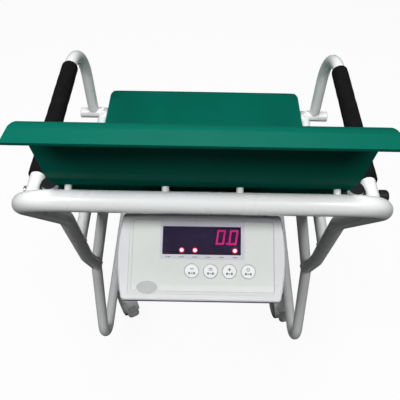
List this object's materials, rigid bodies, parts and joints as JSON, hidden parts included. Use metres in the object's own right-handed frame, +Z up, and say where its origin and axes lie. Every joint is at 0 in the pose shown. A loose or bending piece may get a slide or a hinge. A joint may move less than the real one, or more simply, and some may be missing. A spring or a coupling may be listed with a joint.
{
  "type": "patient chair scale",
  "caption": "Wheeled chair scale with a one-piece moulded seat on a white tube frame, flip-up armrests, push handle and a weighing indicator behind the back.",
  "frame": {"origin": "on the floor, below the middle of the chair's bounding box", "axes": "+Y is the way the sitter faces, +Z up, +X to the sitter's right as seen from behind"},
  "size_m": [0.619, 0.7753, 1.0431],
  "materials": {
    "white_paint": "gloss white powder coat",
    "white_plastic": "gloss",
    "caster_grey": "satin",
    "hub_grey": "satin",
    "tyre_black": "matt",
    "pedal_grey": "satin",
    "foam_black": "closed-cell foam",
    "plug_black": "semi-gloss",
    "zinc_steel": "zinc plated",
    "green_plastic": "smooth gloss",
    "case_grey": "fine texture",
    "panel_grey": "printed film",
    "key_white": "film over dome",
    "window_dark": "tinted filter",
    "digit_red": "lit segment",
    "lamp_red": "lit lamp",
    "board_green": "solder mask",
    "cell_aluminium": "machined",
    "box_grey": "satin"
  },
  "bodies": {
    "frame": {"arm_stubs": "white_paint", "back_spacers": "white_plastic", "base_cross_tubes": "white_paint", "cable_gland": "plug_black", "caster_plates": "zinc_steel", "circuit_board": "board_green", "display_digits": "digit_red", "display_window": "window_dark", "front_panel": "panel_grey", "indicator_bracket": "white_paint", "indicator_front_case": "case_grey", "indicator_rear_case": "case_grey", "indicator_screws": "zinc_steel", "junction_box": "box_grey", "left_rear_leg": "white_paint", "left_seat_rail": "white_paint", "load_cell_brackets": "white_paint", "load_cells": "cell_aluminium", "pin_caps": "plug_black", "pivot_bushes": "plug_black", "pivot_pins": "zinc_steel", "pivot_post_plugs": "plug_black", "pivot_posts": "white_paint", "push_hoop": "white_paint", "rear_struts": "white_paint", "right_lock_knob": "plug_black", "right_rear_leg": "white_paint", "right_seat_rail": "white_paint", "saddle_pads": "white_plastic", "seat_cross_tubes": "white_paint", "seat_screws": "zinc_steel", "seat_shell": "green_plastic", "status_lamps": "lamp_red", "tube_plugs": "white_plastic"},
    "left_armrest": {"left_armrest": "white_paint", "left_arm_grip": "foam_black", "left_arm_plug": "plug_black"},
    "right_armrest": {"right_armrest": "white_paint", "right_arm_grip": "foam_black", "right_arm_plug": "plug_black"},
    "rear_right_caster": {"rear_right_caster_fork": "caster_grey"},
    "rear_right_wheels": {"rear_right_caster_hubs": "hub_grey", "rear_right_caster_tyres": "tyre_black"},
    "rear_right_pedal": {"rear_right_caster_pedal": "pedal_grey"},
    "rear_left_caster": {"rear_left_caster_fork": "caster_grey"},
    "rear_left_wheels": {"rear_left_caster_hubs": "hub_grey", "rear_left_caster_tyres": "tyre_black"},
    "rear_left_pedal": {"rear_left_caster_pedal": "pedal_grey"},
    "front_right_caster": {"front_right_caster_fork": "caster_grey"},
    "front_right_wheels": {"front_right_caster_hubs": "hub_grey", "front_right_caster_tyres": "tyre_black"},
    "front_right_pedal": {"front_right_caster_pedal": "pedal_grey"},
    "front_left_caster": {"front_left_caster_fork": "caster_grey"},
    "front_left_wheels": {"front_left_caster_hubs": "hub_grey", "front_left_caster_tyres": "tyre_black"},
    "front_left_pedal": {"front_left_caster_pedal": "pedal_grey"},
    "key_1": {"key_1": "key_white"},
    "key_2": {"key_2": "key_white"},
    "key_3": {"key_3": "key_white"},
    "key_4": {"key_4": "key_white"}
  },
  "joints": [
    {"name": "left_arm_lift", "type": "hinge", "parent": "frame", "child": "left_armrest", "pos_m": [-0.277, -0.159, 0.757], "axis": [1, 0, 0], "range_deg": [0, 100]},
    {"name": "right_arm_lift", "type": "hinge", "parent": "frame", "child": "right_armrest", "pos_m": [0.277, -0.159, 0.757], "axis": [1, 0, 0], "range_deg": [0, 100]},
    {"name": "rear_right_swivel", "type": "hinge", "parent": "frame", "child": "rear_right_caster", "pos_m": [0.226, 0.05, 0.06], "axis": [0, 0, 1], "continuous": true},
    {"name": "rear_right_roll", "type": "hinge", "parent": "rear_right_caster", "child": "rear_right_wheels", "pos_m": [0.22947, 0.0303, 0.0375], "axis": [0.9848, 0.1736, 0], "continuous": true},
    {"name": "rear_right_brake", "type": "hinge", "parent": "rear_right_caster", "child": "rear_right_pedal", "pos_m": [0.23653, -0.0097, 0.06095], "axis": [0.9848, 0.1736, 0], "range_deg": [0, 12]},
    {"name": "rear_left_swivel", "type": "hinge", "parent": "frame", "child": "rear_left_caster", "pos_m": [-0.226, 0.05, 0.06], "axis": [0, 0, 1], "continuous": true},
    {"name": "rear_left_roll", "type": "hinge", "parent": "rear_left_caster", "child": "rear_left_wheels", "pos_m": [-0.21661, 0.03234, 0.0375], "axis": [0.8829, 0.4695, 0], "continuous": true},
    {"name": "rear_left_brake", "type": "hinge", "parent": "rear_left_caster", "child": "rear_left_pedal", "pos_m": [-0.19754, -0.00352, 0.06095], "axis": [0.8829, 0.4695, 0], "range_deg": [0, 12]},
    {"name": "front_right_swivel", "type": "hinge", "parent": "frame", "child": "front_right_caster", "pos_m": [0.226, 0.343, 0.06], "axis": [0, 0, 1], "continuous": true},
    {"name": "front_right_roll", "type": "hinge", "parent": "front_right_caster", "child": "front_right_wheels", "pos_m": [0.23284, 0.32421, 0.0375], "axis": [0.9397, 0.342, 0], "continuous": true},
    {"name": "front_right_brake", "type": "hinge", "parent": "front_right_caster", "child": "front_right_pedal", "pos_m": [0.24673, 0.28604, 0.06095], "axis": [0.9397, 0.342, 0], "range_deg": [0, 12]},
    {"name": "front_left_swivel", "type": "hinge", "parent": "frame", "child": "front_left_caster", "pos_m": [-0.226, 0.343, 0.06], "axis": [0, 0, 1], "continuous": true},
    {"name": "front_left_roll", "type": "hinge", "parent": "front_left_caster", "child": "front_left_wheels", "pos_m": [-0.23284, 0.32421, 0.0375], "axis": [0.9397, -0.342, 0], "continuous": true},
    {"name": "front_left_brake", "type": "hinge", "parent": "front_left_caster", "child": "front_left_pedal", "pos_m": [-0.24673, 0.28604, 0.06095], "axis": [0.9397, -0.342, 0], "range_deg": [0, 12]},
    {"name": "key_1_press", "type": "slide", "parent": "frame", "child": "key_1", "axis": [0, 0.454, -0.891], "range_m": [0, 0.001], "stiffness_N_per_m": 600},
    {"name": "key_2_press", "type": "slide", "parent": "frame", "child": "key_2", "axis": [0, 0.454, -0.891], "range_m": [0, 0.001], "stiffness_N_per_m": 600},
    {"name": "key_3_press", "type": "slide", "parent": "frame", "child": "key_3", "axis": [0, 0.454, -0.891], "range_m": [0, 0.001], "stiffness_N_per_m": 600},
    {"name": "key_4_press", "type": "slide", "parent": "frame", "child": "key_4", "axis": [0, 0.454, -0.891], "range_m": [0, 0.001], "stiffness_N_per_m": 600}
  ]
}
